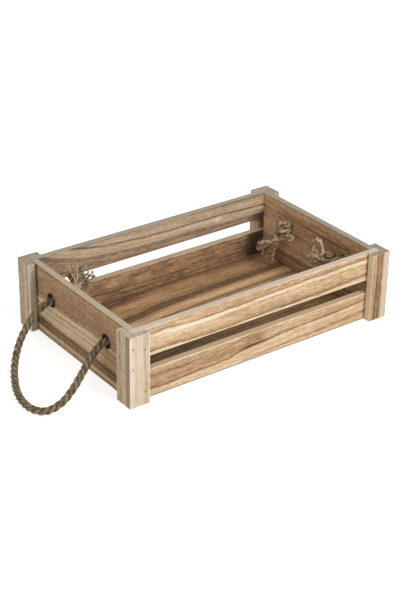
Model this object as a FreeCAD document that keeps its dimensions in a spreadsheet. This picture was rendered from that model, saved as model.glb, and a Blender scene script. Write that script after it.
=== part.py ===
"""A low, open wooden crate with a rope handle at each end, as a parametric FreeCAD document.

Frame: millimetres, origin on the ground under the crate's middle, +X along its long side to the
right, +Y to the back, +Z up.

Each long side is two slats with a gap between them. Each end is one board that fits between the
slats and holds two bores for the rope. A thin floor is nailed on from beneath. At each corner
an L of two battens runs the full height: the cover batten laps over the edge of the butt batten,
and the laps run round the crate like a pinwheel. A rope goes through both bores of an end, and
a knot with a frayed tail stops it at each bore, inside the crate.
"""

import FreeCAD, Part
import math
import os
from collections import namedtuple

import Sketcher
from FreeCAD import Rotation, Vector

DRIVING_SIZES = {
    "crate_length": 400,           # over the corner battens, along X
    "crate_width": 254,            # over the corner battens, along Y
    "slat_thickness": 9.5,
    "lower_slat_height": 36,
    "slat_gap": 17.8,              # between the two slats of a long side
    "upper_slat_height": 38,
    "panel_thickness": 9.5,        # the end boards
    "floor_thickness": 2.5,
    "foot_height": 0.7,            # how far the battens stand below the floor
    "batten_thickness": 9.5,
    "cover_batten_width": 28.5,
    "butt_batten_width": 19,
    "eased_edge": 0.6,             # the small bevel on every board's edges
    "rope_hole_diameter": 18,
    "rope_hole_spacing": 125,      # between the two bores of an end
    "rope_hole_drop": 36.4,        # from the rim down to the bores' centres
    "rope_diameter": 8.2,
    "mouth_reach": 6,              # from an end board's face out to the rope's first bend
    "soft_clearance": 0.3,         # round the rope and its knots
    "knot_length": 18.4,
    "knot_diameter": 24,
    "knot_face_diameter": 16,
    "tail_root_diameter": 10,
    "tail_tip_diameter": 22,
    "brad_length": 17,
    "brad_width": 1.6,
    "brad_thickness": 1.4,
    "brad_head_width": 3,
    "brad_head_thickness": 0.8,
    "low_nail_height": 18,         # from the ground, into the lower slats
    "high_nail_drop": 21,          # from the rim, into the upper slats
    "butt_nail_drop": 34,          # from the rim, the upper brad of a butt batten
    "lap_nail_drop": 16,           # from the rim, the first brad of a lap
    "lap_nail_pitch": 27,
    "joint_nail_offset": 9,        # from the batten's brads to those in the slats' ends
    "cover_nail_inset": 21.4,      # from the crate's corner to the cover batten's brads
    "panel_nail_inset": 2,         # from an end board's edge to its brads
    "floor_nail_pitch": 100,       # along a slat
    "end_floor_nail_pitch": 60,    # along an end board
}

# Places that several pieces share, worked out from the driving sizes.
END_FACE = "(Sizes.crate_length / 2 - Sizes.batten_thickness)"
END_INSIDE = f"({END_FACE} - Sizes.panel_thickness)"
SIDE_FACE = "(Sizes.crate_width / 2 - Sizes.batten_thickness)"
SIDE_INSIDE = f"({SIDE_FACE} - Sizes.slat_thickness)"
FLOOR_TOP = "(Sizes.foot_height + Sizes.floor_thickness)"
GAP_BOTTOM = f"({FLOOR_TOP} + Sizes.lower_slat_height)"
GAP_TOP = f"({GAP_BOTTOM} + Sizes.slat_gap)"
RIM = f"({GAP_TOP} + Sizes.upper_slat_height)"
HOLE_HEIGHT = f"({RIM} - Sizes.rope_hole_drop)"

SIDES = {"front": -1, "back": 1}
ENDS = {"left": -1, "right": 1}

# Each corner's cover batten lies on this face of the crate, and its butt batten on the other.
COVER_FACE = {
    ("front", "left"): "side",
    ("back", "left"): "end",
    ("back", "right"): "side",
    ("front", "right"): "end",
}

Knot = namedtuple("Knot", "end side inward up tail_way tail_length")
# inward and up: how far the knot sits off the rope's line, and tail_length, in knot diameters.
# tail_way: the tail's direction, inward along X, along Y, up.
KNOTS = [
    Knot("left", "front", 0.175, 0.067, (23.5, 7, -22), 1.375),
    Knot("left", "back", 0.133, 0.317, (29.5, 12, 20), 1.583),
    Knot("right", "front", 0.425, 0.233, (16, 7, 24), 1.25),
    Knot("right", "back", 0.346, 0.317, (19.5, 25, -36), 2),
]

# The rope loops, from one mouth to the other: out from the mouths, along Y, and lifted above
# where a rope lies on the ground. The first and last points are the mouths themselves.
LEFT_ROUTE = [
    (11.5, 59.5, 49.9),
    (27.5, 57, 42.4),
    (43.5, 50.5, 30.9),
    (59.5, 39.5, 17.4),
    (73.5, 22, 5),
    (84.5, 0, 0),
    (94.5, -22, 0),
    (100.5, -45, 0),
    (100.5, -67, 0),
    (90.5, -84, 2),
    (74.5, -91.5, 11.5),
    (57.5, -88, 24.5),
    (40.5, -78.5, 36),
    (24.5, -69, 44.4),
    (11.5, -62.5, 48.9),
]
RIGHT_ROUTE = [
    (11.5, -59.5, 50),
    (27.5, -57.5, 42.5),
    (43, -50.5, 31),
    (58.5, -38.5, 17.5),
    (72.5, -20.5, 5.5),
    (84, 2, 0),
    (94, 24.5, 0),
    (99.5, 47.5, 0),
    (98.5, 69.5, 0.5),
    (87.5, 86.5, 3.5),
    (71, 93, 13.5),
    (54, 88.5, 26),
    (38, 79, 37),
    (23, 69.5, 44.8),
    (11, 62.5, 49),
]
ARC_SHARE = 0.45                   # of the shorter run beside a point, taken by its arc
ROPE_FACETS = 12                   # sides of the plain rope, its knots and their tails

doc = FreeCAD.newDocument("crate")


def make_sheet():
    """The driving sizes, one to a row, each with its name as the cell's alias."""
    sheet = doc.addObject("Spreadsheet::Sheet", "Sizes")
    for row, (name, value) in enumerate(DRIVING_SIZES.items(), start=1):
        sheet.set(f"A{row}", name)
        sheet.set(f"B{row}", str(value))
        sheet.setAlias(f"B{row}", name)
    doc.recompute()
    return sheet


sizes = make_sheet()


def bind(thing, **properties):
    """Tie properties of an object to expressions in the sheet's sizes."""
    for name, expression in properties.items():
        thing.setExpression(name, str(expression))


def place(thing, x, y, z):
    """Tie an object's place to three expressions."""
    for axis, expression in zip("xyz", (x, y, z)):
        thing.setExpression(f"Placement.Base.{axis}", str(expression))


def signed(sign, expression):
    return f"{sign} * {expression}"


def middle(low, high):
    return f"({low} + {high}) / 2"


# ---------------------------------------------------------------- boards

# A sketch is drawn at rough sizes, and its constraints then pull it to the sheet's.


def draw_rectangle(sketch, wide, high):
    """A rectangle centred on the sketch's origin, with both sizes bound to the sheet."""
    corners = [Vector(-50, -20, 0), Vector(50, -20, 0), Vector(50, 20, 0), Vector(-50, 20, 0)]
    for start, end in zip(corners, corners[1:] + corners[:1]):
        sketch.addGeometry(Part.LineSegment(start, end), False)
    for line in range(4):
        sketch.addConstraint(Sketcher.Constraint("Coincident", line, 2, (line + 1) % 4, 1))
    for line, way in enumerate(("Horizontal", "Vertical", "Horizontal", "Vertical")):
        sketch.addConstraint(Sketcher.Constraint(way, line))
    sketch.addConstraint(Sketcher.Constraint("Symmetric", 0, 1, 2, 1, -1, 1))
    for name, line, value, size in (("wide", 0, 100, wide), ("high", 1, 40, high)):
        kind = "DistanceX" if name == "wide" else "DistanceY"
        number = sketch.addConstraint(Sketcher.Constraint(kind, line, 1, line, 2, value))
        sketch.renameConstraint(number, name)
        sketch.setExpression(f"Constraints.{name}", size)


def draw_hole(sketch, name, across, up, diameter):
    """A round hole at a bound place, measured from the sketch's origin."""
    right = not across.startswith("-")
    start = Vector(20 if right else -20, 8, 0)
    circle = sketch.addGeometry(Part.Circle(start, Vector(0, 0, 1), 5), False)
    for key, kind, value, size in (
        ("across", "DistanceX", start.x, across),
        ("up", "DistanceY", start.y, up),
    ):
        number = sketch.addConstraint(Sketcher.Constraint(kind, -1, 1, circle, 3, value))
        sketch.renameConstraint(number, f"{name}_{key}")
        sketch.setExpression(f"Constraints.{name}_{key}", size)
    number = sketch.addConstraint(Sketcher.Constraint("Diameter", circle, 10))
    sketch.renameConstraint(number, f"{name}_diameter")
    sketch.setExpression(f"Constraints.{name}_diameter", diameter)


def make_board(name, plane, wide, high, thick, at, holes=()):
    """A flat board with eased edges: its outline in one plane, padded both ways, and placed."""
    body = doc.addObject("PartDesign::Body", f"{name}_board")
    sketch = body.newObject("Sketcher::SketchObject", f"{name}_outline")
    origin_plane = [item for item in body.Origin.OriginFeatures if item.Role == plane][0]
    sketch.AttachmentSupport = [(origin_plane, "")]
    sketch.MapMode = "FlatFace"
    draw_rectangle(sketch, wide, high)
    for number, hole in enumerate(holes, start=1):
        draw_hole(sketch, f"hole_{number}", *hole)
    pad = body.newObject("PartDesign::Pad", f"{name}_pad")
    pad.Profile = sketch
    pad.SideType = "Symmetric"
    bind(pad, Length=thick)
    doc.recompute()
    edges = body.newObject("PartDesign::Chamfer", f"{name}_eased")
    edges.Base = (pad, ["Edge1"])
    edges.UseAllEdges = True
    bind(edges, Size="Sizes.eased_edge")
    place(body, *at)
    return body


def make_slats():
    """The long sides: a lower and an upper slat on each, as long as the frame."""
    boards = {}
    length = f"2 * {END_FACE}"
    for side, way in SIDES.items():
        along = signed(way, f"({SIDE_FACE} - Sizes.slat_thickness / 2)")
        for level, low, high, height in (
            ("lower", FLOOR_TOP, GAP_BOTTOM, "Sizes.lower_slat_height"),
            ("upper", GAP_TOP, RIM, "Sizes.upper_slat_height"),
        ):
            name = f"{side}_{level}_slat"
            at = ("0", along, middle(low, high))
            boards[name] = make_board(
                name, "XZ_Plane", length, height, "Sizes.slat_thickness", at
            )
    return boards


def make_end_panels():
    """The ends: one board each, between the slats, with two bores for the rope."""
    boards = {}
    wide = f"2 * {SIDE_INSIDE}"
    high = f"({RIM} - {FLOOR_TOP})"
    hole_up = f"{HOLE_HEIGHT} - ({RIM} + {FLOOR_TOP}) / 2"
    holes = [
        (signed(way, "Sizes.rope_hole_spacing / 2"), hole_up, "Sizes.rope_hole_diameter")
        for way in (-1, 1)
    ]
    for end, way in ENDS.items():
        name = f"{end}_end_panel"
        at = (
            signed(way, f"({END_FACE} - Sizes.panel_thickness / 2)"),
            "0",
            middle(FLOOR_TOP, RIM),
        )
        boards[name] = make_board(
            name, "YZ_Plane", wide, high, "Sizes.panel_thickness", at, holes
        )
    return boards


def make_floor():
    """The thin floor, under the slats and the end boards and between the corner battens."""
    at = ("0", "0", middle("Sizes.foot_height", FLOOR_TOP))
    wide = f"2 * {END_FACE}"
    deep = f"2 * {SIDE_FACE}"
    board = make_board("floor_panel", "XY_Plane", wide, deep, "Sizes.floor_thickness", at)
    return {"floor_panel": board}


def make_battens():
    """Two full-height battens to a corner: the cover laps over the butt's edge."""
    boards = {}
    half = "Sizes.batten_thickness / 2"
    for (side, end), face in COVER_FACE.items():
        cover_on_side = face == "side"
        side_width = "Sizes.cover_batten_width" if cover_on_side else "Sizes.butt_batten_width"
        end_width = "Sizes.butt_batten_width" if cover_on_side else "Sizes.cover_batten_width"
        side_edge = "Sizes.crate_length / 2" if cover_on_side else END_FACE
        end_edge = SIDE_FACE if cover_on_side else "Sizes.crate_width / 2"
        kinds = ("cover", "butt") if cover_on_side else ("butt", "cover")
        x_way, y_way = ENDS[end], SIDES[side]
        side_at = (
            signed(x_way, f"({side_edge} - {side_width} / 2)"),
            signed(y_way, f"({SIDE_FACE} + {half})"),
            f"{RIM} / 2",
        )
        end_at = (
            signed(x_way, f"({END_FACE} + {half})"),
            signed(y_way, f"({end_edge} - {end_width} / 2)"),
            f"{RIM} / 2",
        )
        for kind, plane, width, at in (
            (kinds[0], "XZ_Plane", side_width, side_at),
            (kinds[1], "YZ_Plane", end_width, end_at),
        ):
            name = f"{side}_{end}_{kind}_batten"
            boards[name] = make_board(name, plane, width, RIM, "Sizes.batten_thickness", at)
    return boards


# ---------------------------------------------------------------- brads


def make_brad(name, at, drive, sense, wide):
    """One T-headed brad. at: its head's face; drive and sense: its way into the wood."""
    boxes = []
    for part, start, end, width in (
        ("head", "0", "Sizes.brad_head_thickness", "Sizes.brad_head_width"),
        ("shank", "Sizes.brad_head_thickness", "Sizes.brad_length", "Sizes.brad_width"),
    ):
        extent = dict.fromkeys("xyz", "Sizes.brad_thickness")
        extent[wide] = width
        extent[drive] = f"({end} - {start})"
        low = {axis: f"{at[axis]} - {extent[axis]} / 2" for axis in "xyz"}
        low[drive] = f"{at[drive]} + {start}" if sense > 0 else f"{at[drive]} - {end}"
        box = doc.addObject("Part::Box", f"{name}_{part}")
        bind(box, Length=extent["x"], Width=extent["y"], Height=extent["z"])
        place(box, low["x"], low["y"], low["z"])
        boxes.append(box)
    return boxes


def make_fuse(name, pieces):
    fuse = doc.addObject("Part::MultiFuse", name)
    fuse.Shapes = pieces
    return fuse


def make_corner_brads(side, end):
    """The brads of one corner: through the battens, and through the slats into the end board."""
    x_way, y_way = ENDS[end], SIDES[side]
    low = "Sizes.low_nail_height"
    high = f"({RIM} - Sizes.high_nail_drop)"
    lap = f"({RIM} - Sizes.lap_nail_drop)"
    half_batten = "Sizes.batten_thickness / 2"
    half_butt = "Sizes.butt_batten_width / 2"
    on_side = {"drive": "y", "sense": -y_way, "y": signed(y_way, "Sizes.crate_width / 2")}
    on_end = {"drive": "x", "sense": -x_way, "x": signed(x_way, "Sizes.crate_length / 2")}
    if COVER_FACE[side, end] == "side":
        cover, butt = on_side, on_end
        across = "x"
        cover_place = signed(x_way, "(Sizes.crate_length / 2 - Sizes.cover_nail_inset)")
        lap_place = signed(x_way, f"(Sizes.crate_length / 2 - {half_batten})")
        butt_place = signed(y_way, f"({SIDE_INSIDE} - Sizes.panel_nail_inset)")
    else:
        cover, butt = on_end, on_side
        across = "y"
        cover_place = signed(y_way, "(Sizes.crate_width / 2 - Sizes.cover_nail_inset)")
        lap_place = signed(y_way, f"(Sizes.crate_width / 2 - {half_batten})")
        butt_place = signed(x_way, f"({END_FACE} - {half_butt})")
    along = {"x": "y", "y": "x"}[across]
    joint = {
        "drive": "y",
        "sense": -y_way,
        "x": signed(x_way, f"({END_FACE} - Sizes.panel_thickness / 2)"),
        "y": signed(y_way, SIDE_FACE),
    }
    rows = [
        ("cover", {**cover, across: cover_place}, (low, high)),
        ("lap", {**cover, across: lap_place}, (lap, f"{lap} - Sizes.lap_nail_pitch")),
        ("butt", {**butt, along: butt_place}, (low, f"({RIM} - Sizes.butt_nail_drop)")),
        ("joint", joint, [f"({height} + Sizes.joint_nail_offset)" for height in (low, high)]),
    ]
    boxes = []
    for row, brad, heights in rows:
        for number, height in enumerate(heights, start=1):
            at = {"x": brad["x"], "y": brad["y"], "z": height}
            name = f"{side}_{end}_{row}_brad_{number}"
            boxes += make_brad(name, at, brad["drive"], brad["sense"], "z")
    return make_fuse(f"{side}_{end}_nails", boxes)


def make_floor_brads():
    """The floor's brads, from beneath: a row into each lower slat and each end board."""
    boxes = []
    for side, way in SIDES.items():
        for number, step in enumerate((-1.5, -0.5, 0.5, 1.5), start=1):
            at = {
                "x": signed(step, "Sizes.floor_nail_pitch"),
                "y": signed(way, f"({SIDE_FACE} - Sizes.slat_thickness / 2)"),
                "z": "Sizes.foot_height",
            }
            boxes += make_brad(f"{side}_floor_brad_{number}", at, "z", 1, "x")
    for end, way in ENDS.items():
        for number, step in enumerate((-1, 0, 1), start=1):
            at = {
                "x": signed(way, f"({END_FACE} - Sizes.panel_thickness / 2)"),
                "y": signed(step, "Sizes.end_floor_nail_pitch"),
                "z": "Sizes.foot_height",
            }
            boxes += make_brad(f"{end}_floor_brad_{number}", at, "z", 1, "y")
    return make_fuse("floor_nails", boxes)


def nail_boards(boards, nails):
    """Each board with the seats that the brads make in it."""
    pieces = []
    for name, board in boards.items():
        nailed = doc.addObject("Part::Cut", name)
        nailed.Base = board
        nailed.Tool = nails
        pieces.append(nailed)
    return pieces


# ---------------------------------------------------------------- ropes

# The rope lies in the lower, inner side of each bore.
ROPE_LEAN = (
    "(((Sizes.rope_hole_diameter - Sizes.rope_diameter) / 2 - Sizes.soft_clearance) * sqrt(0.5))"
)
ROPE_ALONG = f"(Sizes.rope_hole_spacing / 2 - {ROPE_LEAN})"
ROPE_HEIGHT = f"({HOLE_HEIGHT} - {ROPE_LEAN})"
MOUTH = f"({END_FACE} + Sizes.mouth_reach)"
KNOT_FACE = f"({END_INSIDE} - Sizes.soft_clearance)"
KNOT_MIDDLE = f"({KNOT_FACE} - Sizes.knot_length / 2)"
STUB_END = f"({MOUTH} - Sizes.rope_diameter / 2 - Sizes.soft_clearance)"


def facing(way):
    """A turn that takes a prism's length from straight up to another direction."""
    return Rotation(Vector(0, 0, 1), way)


def find_faces(shape, level):
    """Names of a prism's faces: its two ends, its foot alone or its sides."""
    heights = [face.normalAt(0, 0).z for face in shape.Faces]
    wanted = {
        "ends": lambda height: abs(height) > 0.9,
        "foot": lambda height: height < -0.9,
        "sides": lambda height: abs(height) < 0.1,
    }[level]
    return [f"Face{number + 1}" for number, height in enumerate(heights) if wanted(height)]


def start_prism(name, diameter, length, way):
    """A body that starts as a faceted bar and points along a direction."""
    body = doc.addObject("PartDesign::Body", name)
    bar = body.newObject("PartDesign::AdditivePrism", f"{name}_bar")
    bar.Polygon = ROPE_FACETS
    bind(bar, Circumradius=f"{diameter} / 2", Height=length)
    body.Placement.Rotation = facing(way)
    doc.recompute()
    return body, bar


def make_knot_ball(name, way):
    """The knot's body: a drum whose two ends draw in to the rope."""
    body, bar = start_prism(name, "Sizes.knot_diameter", "Sizes.knot_length", way)
    shoulders = body.newObject("PartDesign::Chamfer", f"{name}_shoulders")
    shoulders.Base = (bar, find_faces(bar.Shape, "ends"))
    bind(shoulders, Size="(Sizes.knot_diameter - Sizes.knot_face_diameter) / 2")
    return body


def make_knot_tail(name, way, length):
    """The frayed tail: a bar that opens out towards its tip."""
    body, bar = start_prism(name, "Sizes.tail_root_diameter", length, way)
    spread = body.newObject("PartDesign::Draft", f"{name}_spread")
    spread.Base = (bar, find_faces(bar.Shape, "sides"))
    spread.NeutralPlane = (bar, find_faces(bar.Shape, "foot"))
    spread.Reversed = True
    opening = "(Sizes.tail_tip_diameter - Sizes.tail_root_diameter)"
    bind(spread, Angle=f"atan({opening} / 2 / {length})")
    return body


def make_knot(knot):
    """A stopper knot inside the crate, its stretch of rope through the bore, and its tail."""
    x_way, y_way = ENDS[knot.end], SIDES[knot.side]
    name = f"{knot.end}_{'rear' if knot.side == 'back' else 'front'}_knot"
    along = signed(y_way, f"({ROPE_ALONG} - {knot.inward} * Sizes.knot_diameter)")
    up = f"{ROPE_HEIGHT} + {knot.up} * Sizes.knot_diameter"
    ball = make_knot_ball(f"{name}_ball", Vector(-x_way, 0, 0))
    place(ball, signed(x_way, KNOT_FACE), along, up)
    across_way, along_way, up_way = knot.tail_way
    tail_way = Vector(-x_way * across_way, along_way, up_way)
    tail_length = f"({knot.tail_length} * Sizes.knot_diameter)"
    tail = make_knot_tail(f"{name}_tail", tail_way, tail_length)
    place(tail, signed(x_way, KNOT_MIDDLE), along, up)
    stub = doc.addObject("Part::Prism", f"{name}_stub")
    stub.Polygon = ROPE_FACETS
    stub.Placement.Rotation = facing(Vector(-x_way, 0, 0))
    bind(stub, Circumradius="Sizes.rope_diameter / 2", Height=f"{STUB_END} - {KNOT_MIDDLE}")
    place(stub, signed(x_way, STUB_END), signed(y_way, ROPE_ALONG), ROPE_HEIGHT)
    return make_fuse(name, [ball, stub, tail])


def tube_path(points):
    """Straight runs joined by tangent arcs, as one wire, and the arcs' radii."""
    edges = []
    radii = []
    here = points[0]
    for before, corner, after in zip(points, points[1:], points[2:]):
        back = before - corner
        ahead = after - corner
        half_turn = (math.pi - back.getAngle(ahead)) / 2
        reach = ARC_SHARE * min(back.Length, ahead.Length)
        radius = reach / math.tan(half_turn)
        back.normalize()
        ahead.normalize()
        inward = (back + ahead).normalize()
        start = corner + back * reach
        top = corner + inward * (radius / math.cos(half_turn) - radius)
        end = corner + ahead * reach
        edges.append(Part.LineSegment(here, start).toShape())
        edges.append(Part.Arc(start, top, end).toShape())
        radii.append(radius)
        here = end
    edges.append(Part.LineSegment(here, points[-1]).toShape())
    return Part.Wire(edges), radii


def make_rope_loop(end, first_side, route):
    """A rope handle outside the crate, with a round bend at each mouth, where it hinges."""
    way = ENDS[end]
    name = f"{end}_rope_loop"
    mouths = []
    bends = []
    for side_way in (first_side, -first_side):
        mouth = doc.addObject("Part::Vertex", f"{name}_mouth")
        place(mouth, signed(way, MOUTH), signed(side_way, ROPE_ALONG), ROPE_HEIGHT)
        mouths.append(mouth)
        bend = doc.addObject("Part::Prism", f"{name}_bend")
        bend.Polygon = ROPE_FACETS
        bend.Placement.Rotation = facing(Vector(0, 1, 0))
        bind(bend, Circumradius="Sizes.rope_diameter / 2", Height="Sizes.rope_diameter")
        start = f"{signed(side_way, ROPE_ALONG)} - Sizes.rope_diameter / 2"
        place(bend, signed(way, MOUTH), start, ROPE_HEIGHT)
        bends.append(bend)
    doc.recompute()
    first, last = [mouth.Placement.Base for mouth in mouths]
    lying = sizes.rope_diameter / 2
    points = [Vector(first.x + way * out, along, lying + lift) for out, along, lift in route]
    wire, radii = tube_path([first, *points, last])
    path = doc.addObject("Part::Feature", f"{name}_path")
    path.Shape = wire
    profile = doc.addObject("Part::RegularPolygon", f"{name}_section")
    profile.Polygon = ROPE_FACETS
    bind(profile, Circumradius="Sizes.rope_diameter / 2")
    profile.Placement = FreeCAD.Placement(first, facing(points[0] - first))
    tube = doc.addObject("Part::Sweep", f"{name}_tube")
    tube.Sections = [profile]
    tube.Spine = (path, [f"Edge{number + 1}" for number in range(len(wire.Edges))])
    tube.Solid = True
    tube.Frenet = False
    doc.recompute()
    section = ROPE_FACETS / 2 * lying**2 * math.sin(2 * math.pi / ROPE_FACETS)
    expected = section * wire.Length
    print(f"{name}: {wire.Length:.1f} mm long, volume {tube.Shape.Volume / expected:.4f} of")
    print("  its section times its length, radii", [round(radius, 1) for radius in radii])
    return make_fuse(name, [tube, *bends])


# ---------------------------------------------------------------- the crate


def check_document():
    """Stop if any object of the document failed, or has no sound shape."""
    for thing in doc.Objects:
        if "Invalid" in thing.State or "Error" in thing.State:
            raise RuntimeError(f"{thing.Name} is {thing.State}")


def write_pieces(pieces):
    os.makedirs("parts", exist_ok=True)
    for piece in pieces:
        shape = piece.Shape
        if shape.isNull() or not shape.isValid():
            raise RuntimeError(f"{piece.Label} has no valid shape")
        shape.exportStep(os.path.join("parts", f"{piece.Label}.step"))
        print(f"{piece.Label}: {len(shape.Solids)} solid(s), {shape.Volume / 1000:.2f} cm3")


corner_brads = [make_corner_brads(side, end) for side, end in COVER_FACE]
nail_groups = [*corner_brads, make_floor_brads()]
all_nails = make_fuse("all_nails", nail_groups)
boards = {**make_slats(), **make_end_panels(), **make_floor(), **make_battens()}
pieces = nail_boards(boards, all_nails) + nail_groups
pieces += [make_knot(knot) for knot in KNOTS]
pieces.append(make_rope_loop("left", 1, LEFT_ROUTE))
pieces.append(make_rope_loop("right", -1, RIGHT_ROUTE))
doc.recompute()
check_document()
write_pieces(pieces)
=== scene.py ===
# %% [markdown]
# # A wooden crate with rope handles
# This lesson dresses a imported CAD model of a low, open crate. The CAD brings the boards and the small nails
# in their places. Here they get their wood and steel, and the rope is laid strand by strand.
# Everything is in metres, with the origin on the ground under the crate's middle.

import math
import random
from types import SimpleNamespace

import bmesh
import bpy
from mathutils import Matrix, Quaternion, Vector
from mathutils.kdtree import KDTree


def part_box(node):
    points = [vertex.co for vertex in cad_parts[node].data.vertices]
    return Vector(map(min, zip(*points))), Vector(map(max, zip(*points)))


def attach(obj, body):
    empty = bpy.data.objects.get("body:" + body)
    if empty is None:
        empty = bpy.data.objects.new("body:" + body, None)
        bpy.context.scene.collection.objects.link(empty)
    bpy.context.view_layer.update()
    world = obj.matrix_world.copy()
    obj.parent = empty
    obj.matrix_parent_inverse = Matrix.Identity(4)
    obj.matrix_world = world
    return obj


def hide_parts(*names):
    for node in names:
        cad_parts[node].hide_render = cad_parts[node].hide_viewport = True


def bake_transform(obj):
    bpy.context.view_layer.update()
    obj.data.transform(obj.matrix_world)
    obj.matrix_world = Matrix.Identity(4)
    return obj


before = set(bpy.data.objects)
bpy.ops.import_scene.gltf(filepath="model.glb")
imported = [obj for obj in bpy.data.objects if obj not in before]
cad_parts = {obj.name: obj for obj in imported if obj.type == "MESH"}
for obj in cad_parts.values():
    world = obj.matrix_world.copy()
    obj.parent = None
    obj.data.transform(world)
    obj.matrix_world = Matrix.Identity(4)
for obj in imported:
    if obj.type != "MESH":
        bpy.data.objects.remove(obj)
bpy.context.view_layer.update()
MM = 0.001

# %% [markdown]
# ## The camera
# A product picture of a crate is taken from a little above, at one corner, with a long lens from well back,
# so that its edges stay almost parallel. The camera is placed by two angles round a target point.
# A lens of 86 mm at 1.8 m gives that calm look, and the small roll is that of a camera held by hand.

# %% Place the camera
azimuth, elevation, roll = (math.radians(angle) for angle in (-36.563, 28.066, 0.879))
target, distance = Vector((-0.0266, -0.02703, 0.048)), 1.8191
back = Vector((
    math.sin(azimuth) * math.cos(elevation),
    -math.cos(azimuth) * math.cos(elevation),
    math.sin(elevation),
))
camera = bpy.data.objects.new("camera", bpy.data.cameras.new("camera"))
bpy.context.collection.objects.link(camera)
camera.data.sensor_width = 36
camera.data.lens = 86.53
camera.location = target + distance * back
camera.rotation_mode = "QUATERNION"
camera.rotation_quaternion = (-back).to_track_quat("-Z", "Y") @ Quaternion((0, 0, 1), roll)
bpy.context.scene.camera = camera
print("camera at", [round(v, 3) for v in camera.location])

# %% [markdown]
# ## The line of each rope
# A handle is one piece of limp rope. It leaves a bore, drops to the ground in a long bend, lies there in a
# loop and climbs back into the other bore. A NURBS spline is the simplest way to draw such a line, because
# it has no corners between its control points. Order 3 keeps it close to them, and it has to be set
# after the points are added, or it stays at straight runs.

# %% Lay the two lines
LEFT_ROUTE = [
    (-0.1965, 0.0605, 0.0580), (-0.206, 0.0605, 0.0555), (-0.222, 0.0575, 0.0460),
    (-0.238, 0.0505, 0.0345), (-0.254, 0.0395, 0.0215), (-0.269, 0.022, 0.0093),
    (-0.281, 0, 0.0048), (-0.291, -0.022, 0.0048), (-0.297, -0.045, 0.0048),
    (-0.297, -0.067, 0.0048), (-0.287, -0.084, 0.0062), (-0.270, -0.0915, 0.0156),
    (-0.252, -0.088, 0.0280), (-0.234, -0.0785, 0.0385), (-0.2175, -0.069, 0.0460),
    (-0.2045, -0.0640, 0.0540), (-0.1965, -0.0632, 0.0585),
]
RIGHT_ROUTE = [
    (0.1965, -0.0612, 0.0585), (0.2055, -0.0610, 0.0560), (0.2215, -0.0580, 0.0475),
    (0.238, -0.0505, 0.0355), (0.2545, -0.0385, 0.0218), (0.269, -0.0205, 0.0098),
    (0.2805, 0.002, 0.0048), (0.2905, 0.0245, 0.0048), (0.296, 0.0475, 0.0048),
    (0.295, 0.0695, 0.0048), (0.284, 0.0865, 0.0076), (0.2675, 0.093, 0.0176),
    (0.2505, 0.0885, 0.0298), (0.2335, 0.079, 0.0401), (0.2175, 0.0695, 0.0474),
    (0.205, 0.0628, 0.0525), (0.1965, 0.0610, 0.0555),
]


def spline_line(points):
    """The points along a smooth NURBS spline with these control points."""
    curve = bpy.data.curves.new("line", "CURVE")
    curve.dimensions = "3D"
    curve.resolution_u = 20
    spline = curve.splines.new("NURBS")
    spline.points.add(len(points) - 1)
    for point, place in zip(spline.points, points):
        point.co = (*place, 1)
    spline.order_u = 3
    spline.use_endpoint_u = True
    holder = bpy.data.objects.new("line", curve)
    bpy.context.collection.objects.link(holder)
    mesh = bpy.data.meshes.new_from_object(holder)
    line = [v.co.copy() for v in mesh.vertices]
    bpy.data.objects.remove(holder)
    bpy.data.meshes.remove(mesh)
    return line


def length_of(line):
    return sum((b - a).length for a, b in zip(line, line[1:]))


left_line, right_line = spline_line(LEFT_ROUTE), spline_line(RIGHT_ROUTE)
print("left handle", round(length_of(left_line), 4), "m, right handle", round(length_of(right_line), 4), "m")

# %% [markdown]
# ## The stopper knots
# Inside the crate each end of a rope is tied in an overhand knot, which is too big to slip back through its
# bore. Pulled tight, such a knot is a core with the rope wrapped round it once and a half, one turn stacked
# on the other. A ball would do from afar. Here the same spline draws the real path: in along the bore, up
# the core, round it and out as the tail, in the tail's own direction. It joins the handle's line, so that one
# set of strands runs from knot to knot without a break.

# %% Draw the path of a knot
BORE_MIDDLE, BORE_END = 0.1857, 0.1795   # how far along X a bore's middle lies, and where the knot begins
WRAP_TURNS, WRAP_RADIUS, WRAP_STEPS = 1.55, 6.8, 12   # the radius is in mm
KNOTS = {
    # The knot's middle in metres, the way its turns are stacked, and the way its tail leaves.
    "left_front": ((-0.1703, -0.0550, 0.0565), (0.3, 0.3, 1), (23.5, 7, -22)),
    "left_rear": ((-0.1703, 0.0560, 0.0615), (0.2, -0.2, 1), (12, 8, 12)),
    "right_front": ((0.1703, -0.0395, 0.0560), (0, 0.1, 1), (-9, 0, 9)),
    "right_rear": ((0.1703, 0.0515, 0.0650), (-0.1, -0.1, 1), (-9, -5, -12)),
}


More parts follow.
